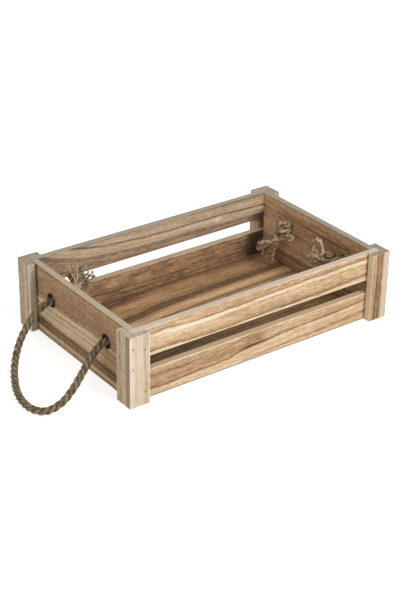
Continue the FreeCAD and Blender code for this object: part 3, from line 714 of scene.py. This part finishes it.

# %% [markdown]
# ## The look of each board
# A board's look gives these, with its sizes in mm:
# - grain and thin are its axes, and face is where its outer or inner face lies along the thin one
# - heart is where the log's heart lies, across the grain and through the board
# - rings are places across the grain on that face, each with how burnt it is there
# - flow is a few places along the grain, each with how far it has shifted across there
# - patches are places along and across, with half sizes, and how much more burnt they are or how much painted
#   shade they add
# - bores are the middles of its holes, along and across
# - streaks, mottle, fibres, lines and corners are how strong each pattern is, and grey is how much of the
#   face has weathered; corners below 0 darken the long edges as painted shade under the rim
# - edge and ends are the colours of its sawn edges and its end grain

# %% Dress the boards
BORES = ((-62.5, 58.6), (62.5, 58.6))
BOARDS = {
    "front_upper_slat": dict(
        grain="x", thin="y", face=-117.5, heart=(10, -70), seed=2.0, edge="#c9bdab",
        rings=[
            (57, 0.12), (60.5, 0.14), (61.8, 0.62), (63.5, 0.42), (67, 0.28), (74, 0.22), (80, 0.1),
            (83.6, 0.06), (84.6, 0.5), (86.5, 0.32), (91, 0.36), (96, 0.26),
        ],
        flow=((-190, 2), (-150, 1), (-80, -0.5), (0, 0.5), (80, 1.5), (190, 4)),
        patches=(
            (-40, 75, 28, 5, 0.12), (-120, 78, 50, 6, -0.08), (20, 76, 90, 30, 0.05), (130, 76, 90, 30, 0.09),
            # painted shade: the patch at 171 along darkens the corner beside the front right batten
            (171, 80, 3, 60, 0.35),
        ),
    ),
    "front_lower_slat": dict(
        grain="x", thin="y", face=-117.5, heart=(-90, -60), seed=1.0, edge="#b59b7a",
        rings=[
            (-18, 0.34), (-9, 0.26), (-4, 0.34), (2, 0.25), (9, 0.24), (11.2, 0.28), (12.4, 0.58), (14, 0.44),
            (18, 0.4), (28, 0.37), (38, 0.33),
        ],
        flow=((-190, 0), (-110, 1), (-60, 3), (-32, 7.5), (-5, 10.5), (25, 12), (100, 14), (190, 18)),
        patches=(
            (-12, 29, 24, 9, 0.16), (-8, 21.5, 34, 3, 0.2), (60, 33, 70, 8, -0.1), (-110, 28, 70, 14, 0.05),
            # painted shade: the patch at 171 along darkens the corner beside the front right batten
            (171, 20, 3, 60, 0.25),
        ),
    ),
    "back_upper_slat": dict(
        # corners below 0: painted shade along the long edges, under the rim
        grain="x", thin="y", face=108, heart=(0, 60), seed=4.0, grey=0.9, edge="#aaa294", corners=-0.12,
        rings=[
            (48, 0.52), (56, 0.54), (62, 0.58), (68.6, 0.5), (70, 0.74), (71.6, 0.45), (76, 0.36), (82, 0.38),
            (83.4, 0.64), (85, 0.42), (90, 0.42), (100, 0.5),
        ],
        flow=(
            (-190, 28), (-165, 21), (-140, 13.5), (-115, 8), (-90, 4.5), (-40, 0), (20, -2), (100, -3),
            (190, -6),
        ),
        # painted shade: the patch at 176 along darkens the corner by the right end board
        patches=((100, 75, 10, 5, -0.2), (0, 78, 260, 40, -0.07), (176, 60, 24, 12, 0.3)),
    ),
    "back_lower_slat": dict(
        grain="x", thin="y", face=108, heart=(90, 90), seed=3.0, mottle=0.9, streaks=0.3, grey=0.3,
        edge="#bfae96",
        rings=[(0, 0.66), (6, 0.6), (15, 0.53), (28, 0.49), (40, 0.48)],
        # painted shade: the patch at 172 along darkens the corner by the right end board
        patches=((150, 25, 60, 20, 0.14), (172, 30, 24, 60, 0.34), (0, 30, 300, 60, 0.02)),
    ),
    "left_end_panel": dict(
        # corners below 0: painted shade along the long edges, under the rim
        grain="y", thin="x", face=-190.5, heart=(-60, -150), seed=5.0, edge="#bfb197", corners=-0.12,
        streaks=0.3, lines=0.12, bores=BORES,
        rings=[
            (3, 0.32), (9, 0.26), (11, 0.5), (13, 0.66), (16, 0.6), (19.5, 0.65), (21.5, 0.68), (23.5, 0.44),
            (26, 0.26), (32, 0.15), (36, 0.26), (40, 0.2), (44, 0.4), (46, 0.2), (50, 0.12), (52.5, 0.44),
            (58, 0.53), (72, 0.51), (85, 0.46), (96, 0.47),
        ],
        flow=((-108, 0), (0, 1), (108, 1)),
        # painted shade: the patch at 98 along darkens the strip beside the back left batten
        patches=((-80, 36, 45, 26, 0.26), (90, 20, 30, 14, 0.12), (98, 60, 5, 90, 0.4)),
    ),
    "right_end_panel": dict(
        # corners below 0: painted shade along the long edges, under the rim
        grain="y", thin="x", face=181, heart=(-60, 150), seed=6.0, grey=0.25, edge="#a19a8c", corners=-0.14,
        bores=BORES,
        rings=[
            (3, 0.66), (14, 0.58), (21, 0.68), (24, 0.5), (45, 0.5), (64, 0.54), (74, 0.6), (81, 0.5),
            (90, 0.4), (96, 0.46),
        ],
        flow=((-108, 0), (108, 3)),
        patches=((0, 48, 260, 80, -0.06), (60, 60, 90, 60, -0.05), (95, 60, 22, 60, -0.1)),
    ),
    "floor_panel": dict(
        grain="x", thin="z", face=3.2, heart=(-160, 130), seed=7.0, mottle=0.35, grey=0.1, streaks=0.35,
        fibres=0.5,
        rings=[
            (-140, 0.5), (-105, 0.42), (-88, 0.6), (-70, 0.4), (-40, 0.5), (-20, 0.64), (0, 0.44), (22, 0.34),
            (30, 0.46), (33.5, 0.6), (36.5, 0.32), (43, 0.24), (50, 0.34), (56, 0.6), (61, 0.66), (68, 0.5),
            (78, 0.38), (90, 0.38), (97, 0.48), (104, 0.64), (112, 0.66), (135, 0.6),
        ],
        flow=((-190, -20), (-80, -10), (0, 0), (100, 3), (190, 6)),
        patches=(
            # painted shadow: the two patches at -70 across darken the floor where the front slats and the left
            # end shade it
            (0, 0, 400, 400, 0.1), (0, -70, 260, 50, 0.1), (-120, -70, 120, 45, 0.1),
            (110, 90, 90, 30, 0.04),
        ),
    ),
    "front_left_cover_batten": dict(
        grain="z", thin="y", face=-127, heart=(-230, -110), seed=8.0, edge="#967e5e", ends="#bcae97",
        lines=0.12, streaks=0.3, fibres=0.4, grey=1.1,
        rings=[
            (-200, 0.2), (-196, 0.14), (-192, 0.2), (-190, 0.28), (-186, 0.16), (-181, 0.23), (-176, 0.31),
            (-171, 0.25),
        ],
    ),
    "front_left_butt_batten": dict(
        grain="z", thin="x", face=-200, heart=(-150, -180), seed=9.0, lines=0.12, grey=0.8, ends="#bcae97",
        rings=[(-118, 0.36), (-112, 0.27), (-106, 0.31), (-100, 0.38), (-96, 0.34)],
    ),
    "front_right_butt_batten": dict(
        grain="z", thin="y", face=-127, heart=(150, -100), seed=10.0, edge="#d9c7ac", ends="#8e8270",
        lines=0.1,
        rings=[
            (171, 0.3), (175, 0.4), (177, 0.34), (179, 0.66), (181, 0.56), (183, 0.54), (184.5, 0.7),
            (186, 0.57), (188.5, 0.57), (190.5, 0.68),
        ],
    ),
    "front_right_cover_batten": dict(
        grain="z", thin="x", face=200, heart=(-150, 170), seed=11.0, edge="#d0c1aa", ends="#8e8270",
        rings=[(-128, 0.2), (-120, 0.3), (-112, 0.5), (-104, 0.35), (-98, 0.3)],
    ),
    "back_left_cover_batten": dict(
        grain="z", thin="x", face=-200, heart=(150, -170), seed=12.0, grey=0.9,
        rings=[(98, 0.2), (101, 0.16), (104, 0.34), (110, 0.26), (116, 0.36), (122, 0.3), (127, 0.36)],
    ),
    "back_left_butt_batten": dict(
        grain="z", thin="y", face=127, heart=(-150, 100), seed=13.0,
        rings=[(-191, 0.3), (-185, 0.5), (-178, 0.3), (-171, 0.4)],
    ),
    "back_right_cover_batten": dict(
        grain="z", thin="y", face=127, heart=(150, 100), seed=14.0, edge="#f2d2b2",
        rings=[(171, 0.3), (180, 0.45), (190, 0.3), (200, 0.4)],
    ),
    "back_right_butt_batten": dict(
        grain="z", thin="x", face=200, heart=(80, 170), seed=15.0,
        rings=[(98, 0.3), (105, 0.5), (112, 0.35), (118, 0.4)],
    ),
}
for name, look in BOARDS.items():
    dress(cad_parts[name], torched_wood(f"torched_wood_{name}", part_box(name), look))
print(len(BOARDS), "boards dressed")

# %% [markdown]
# ## Steel brads
# The small T-heads are blued steel, dulled by the brushing: dark grey, a little rusty, rough. A metal keeps
# the shader's own IOR. The spots of rust are 1.1 mm wide, or 900 to a metre.

# %% Make the brads' steel
steel, tree = new_material("dulled_blued_steel")
rust = add(tree, "TexNoise", {"Vector": add(tree, "TexCoord").outputs["Object"], "Scale": 900, "Detail": 3})
tint = add(tree, "ValToRGB", [rust], stops=[(0.35, linear("#5b4b3c")), (0.65, linear("#7d6850"))])
surface = add(tree, "BsdfPrincipled", {"Base Color": tint, "Metallic": 0.8, "Roughness": 0.55})
add(tree, "OutputMaterial", {"Surface": surface})
brads = [node for name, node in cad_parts.items() if name.endswith("_nails")]
for brad in brads:
    dress(brad, steel)
print(len(brads), "sets of brads dressed")

# %% [markdown]
# ## Hemp rope
# The rope is a natural fibre like hemp: greyish brown, matt, with yarns about 2 mm wide laid round each
# strand against the lay of the rope. The strands' map carries them as a wave, seven to a strand with a turn
# every 20 mm. Noise in object space adds paler and darker fibres, 0.9 mm wide or 1100 to a metre, which is
# as coarse as they need to be to show, and stains of 8 mm or 130 to a metre.

# %% Start the fibre with its yarns
YARNS_ROUND, YARN_TURN = 7, 20 * MM
hemp, tree = new_material("laid_hemp")
place = add(tree, "TexCoord").outputs
strand = add(tree, "SeparateXYZ", [place["UV"]]).outputs
turned = add(tree, "Math", [strand[0], YARNS_ROUND], operation="MULTIPLY")
turned = add(tree, "Math", [strand[1], 1 / YARN_TURN, turned], operation="MULTIPLY_ADD")
yarns = add(tree, "Math", [turned, 0.5], operation="PINGPONG")
fibres = add(tree, "TexNoise", {"Vector": place["Object"], "Scale": 1100, "Detail": 3, "Roughness": 0.7})
stains = add(tree, "TexNoise", {"Vector": place["Object"], "Scale": 130, "Detail": 3})
tone = add(tree, "Math", [stains, 0.45], operation="MULTIPLY")
tone = add(tree, "Math", [fibres, 0.55, tone], operation="MULTIPLY_ADD")
tone = add(tree, "Math", [yarns, 0.3, tone], operation="MULTIPLY_ADD")
print(YARNS_ROUND, "yarns to a strand, with a turn every", YARN_TURN, "m")

# %% [markdown]
# ## Painted groove shade and fresh fibre
# The grooves between the strands are darkened: painted shade, where shade falls between them. Where the rope
# has come apart its clean inner fibres are paler, and each yarn has a tone of its own, because some are
# bleached more than others. The whole number that a strand's map starts from picks that tone, and the value
# on each point says how much of it shows.

# %% Finish the fibre
own = add(tree, "TexWhiteNoise", {"W": add(tree, "Math", [strand[0]], operation="FLOOR")}, noise_dimensions="1D")
clean_or_shaded = add(tree, "Attribute", attribute_name="shade_and_cleanness").outputs["Fac"]
frayed = add(tree, "MapRange", [clean_or_shaded, 0.5, 0.7, 0.03, 0.4])
above = add(tree, "Math", [own, 0.55], operation="SUBTRACT")
tone = add(tree, "Math", [above, frayed, tone], operation="MULTIPLY_ADD")
tint = add(tree, "ValToRGB", [tone], stops=[
    (0.44, linear("#4c3d28")), (0.58, linear("#826f52")), (0.72, linear("#b9a787")),
])
fresh = add(tree, "MapRange", [clean_or_shaded, 0.5, 0.9, 0, 1])
bleach = add(tree, "Math", [own, 0.72, 0.25], operation="MULTIPLY_ADD")
fresh = add(tree, "Math", [fresh, bleach], operation="MULTIPLY")
paler = add(tree, "Mix", {"Factor": fresh, "A": tint, "B": linear("#dcc3a2")}, data_type="RGBA")
# painted shade: the colour is darkened in the grooves between the strands, where shade falls
groove = add(tree, "MapRange", [clean_or_shaded, 0, 0.47, 0.1, 1.03])
colour = add(tree, "VectorMath", {0: paler, "Scale": groove}, operation="SCALE")
relief = add(tree, "Math", [fibres, 0.4, yarns], operation="MULTIPLY_ADD")
bump = add(tree, "Bump", {"Height": relief, "Strength": 0.8, "Distance": 0.8 * MM})
surface = add(tree, "BsdfPrincipled", {"Base Color": colour, "Roughness": 0.9, "IOR": 1.5, "Normal": bump})
add(tree, "OutputMaterial", {"Surface": surface})
for piece in left_rope + right_rope:
    dress(piece, hemp)
print(len(left_rope + right_rope), "pieces of rope dressed")

# %% [markdown]
# ## The floor
# A studio sweep is one big white surface under soft light. Enough light to turn it white would bleach the
# crate as well. So the floor here is pale paper that glows a little, but only for rays that look at it,
# straight or by way of a gloss or a glass. It lights nothing and keeps the crate's soft shadow.

# %% Lay the floor
FLOOR_HALF = 12   # metres from its middle to its edge


def looked_at(tree):
    """1 for rays that look, straight or by way of a gloss or a glass, and 0 for those that light something."""
    ray = add(tree, "LightPath").outputs
    seen = add(tree, "Math", [ray["Is Camera Ray"], ray["Is Glossy Ray"]], operation="MAXIMUM")
    return add(tree, "Math", [seen, ray["Is Transmission Ray"]], operation="MAXIMUM")


mesh = bpy.data.meshes.new("studio_floor")
bm = bmesh.new()
bmesh.ops.create_grid(bm, x_segments=1, y_segments=1, size=FLOOR_HALF)
bm.to_mesh(mesh)
bm.free()
floor = bpy.data.objects.new("studio_floor", mesh)
bpy.context.collection.objects.link(floor)

paper, tree = new_material("studio_paper")
lit = add(tree, "BsdfDiffuse", {"Color": linear("#d8d6d2")})
strength = add(tree, "Math", [looked_at(tree), 0.7], operation="MULTIPLY")
glow = add(tree, "Emission", {"Color": (1, 1, 1, 1), "Strength": strength})
add(tree, "OutputMaterial", {"Surface": add(tree, "AddShader", [lit, glow])})
dress(floor, paper)
print("floor", 2 * FLOOR_HALF, "m wide")

# %% [markdown]
# ## The light
# The world gives even light from all round, and looks white. One large lamp stands to the right of the
# camera, so the fronts are bright and the left end is in half shade, and a weak one on the left opens that
# shade a little. Both are large for how near they stand, which keeps the shadows soft.

# %% Light the crate
world = bpy.data.worlds.new("studio")
bpy.context.scene.world = world
world.use_nodes = True
tree = world.node_tree
tree.nodes.clear()
strength = add(tree, "MapRange", [looked_at(tree), 0, 1, 0.42, 1])
glow = add(tree, "Background", {"Color": (1, 1, 1, 1), "Strength": strength})
add(tree, "OutputWorld", {"Surface": glow})


def soft_box(name, place, size, power):
    """A square lamp of this size in metres and power in watts, turned to the crate's middle."""
    lamp = bpy.data.objects.new(name, bpy.data.lights.new(name, "AREA"))
    bpy.context.collection.objects.link(lamp)
    lamp.data.size = size
    lamp.data.energy = power
    lamp.location = place
    lamp.rotation_euler = (Vector((0, 0, 0.05)) - lamp.location).to_track_quat("-Z", "Y").to_euler()
    print(name, power, "W")


soft_box("key_box", (0.35, -1.35, 1.45), 0.9, 26)
soft_box("fill_box", (-1.9, -0.6, 0.7), 1.2, 6)

# %% [markdown]
# ## The end
# Last, the view transform is set to Standard, so that colours show as they are written.

# %% Finish
bpy.context.scene.view_settings.view_transform = "Standard"
